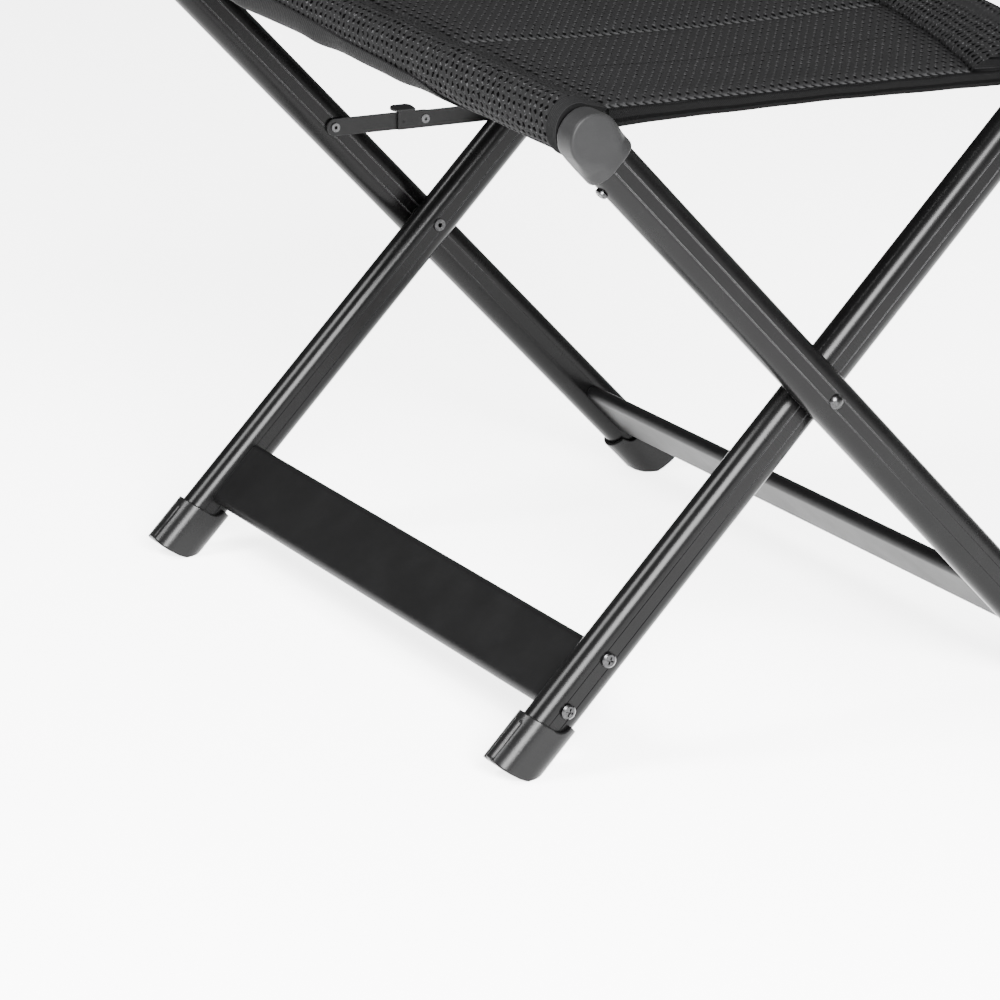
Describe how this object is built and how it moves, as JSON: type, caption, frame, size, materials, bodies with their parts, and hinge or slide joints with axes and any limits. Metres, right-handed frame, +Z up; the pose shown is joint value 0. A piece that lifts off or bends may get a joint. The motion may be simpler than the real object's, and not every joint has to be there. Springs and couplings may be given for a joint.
{
  "type": "folding camp stool",
  "caption": "Low folding camp stool: two crossed flat-oval tube frames with foot rails, rubber feet, a locking side brace and a padded mesh seat slung between the top tubes.",
  "frame": {"origin": "centre of the footprint of the open stool, on the ground", "axes": "+Z up, Y along the pivot axis with the side brace at +Y, X across the X of the legs"},
  "size_m": [0.4448, 0.5444, 0.4404],
  "materials": {
    "leg_tube": "satin",
    "rail": "satin",
    "cap": "matte",
    "boot": "matte",
    "screw": "satin",
    "rivet": "satin",
    "spacer": "matte",
    "brace": "satin",
    "brace_rivet": "satin",
    "mesh": "matte",
    "binding": "matte"
  },
  "bodies": {
    "outer_frame": {"outer_leg_near": "leg_tube", "outer_leg_far": "leg_tube", "outer_top_tube": "leg_tube", "outer_foot_rail": "rail", "outer_cap_near": "cap", "outer_cap_far": "cap", "outer_foot_near": "boot", "outer_foot_far": "boot", "outer_rail_screws": "screw", "outer_cap_screws": "screw", "pivot_rivet_near": "rivet", "pivot_rivet_far": "rivet", "pivot_washer_near": "spacer", "pivot_spacer_far": "spacer", "brace_rivet_left": "brace_rivet", "brace_washer_left": "brace_rivet", "sleeve_left": "mesh", "seat_panel": "mesh", "front_binding": "binding", "back_binding": "binding"},
    "inner_frame": {"inner_leg_near": "leg_tube", "inner_leg_far": "leg_tube", "inner_top_tube": "leg_tube", "inner_foot_rail": "rail", "inner_cap_near": "cap", "inner_cap_far": "cap", "inner_foot_near": "boot", "inner_foot_far": "boot", "inner_rail_screws": "screw", "inner_cap_screws": "screw", "pivot_bushes": "spacer", "brace_rivet_right": "brace_rivet", "brace_washer_right": "brace_rivet", "sleeve_right": "mesh"},
    "brace_left": {"brace_link_left": "brace", "brace_middle_rivet_back": "brace_rivet"},
    "brace_right": {"brace_link_right": "brace", "brace_middle_rivet_front": "brace_rivet"}
  },
  "joints": [
    {"name": "fold", "type": "hinge", "parent": "outer_frame", "child": "inner_frame", "pos_m": [0.00089, 0, 0.2115], "axis": [0, -1, 0], "range_deg": [0, 76], "deforming": ["seat_panel", "front_binding", "back_binding"]},
    {"name": "brace_left_hinge", "type": "hinge", "parent": "outer_frame", "child": "brace_left", "pos_m": [-0.06768, 0.248, 0.28194], "axis": [0, -1, 0], "range_deg": [0, 119.5]},
    {"name": "brace_right_hinge", "type": "hinge", "parent": "inner_frame", "child": "brace_right", "pos_m": [0.06946, 0.2455, 0.28194], "axis": [0, 1, 0], "range_deg": [0, 119.5]}
  ],
  "couplings": [
    {"joint": "brace_left_hinge", "follows": "fold", "ratio": 1.5643},
    {"joint": "brace_right_hinge", "follows": "fold", "ratio": 1.5643}
  ]
}
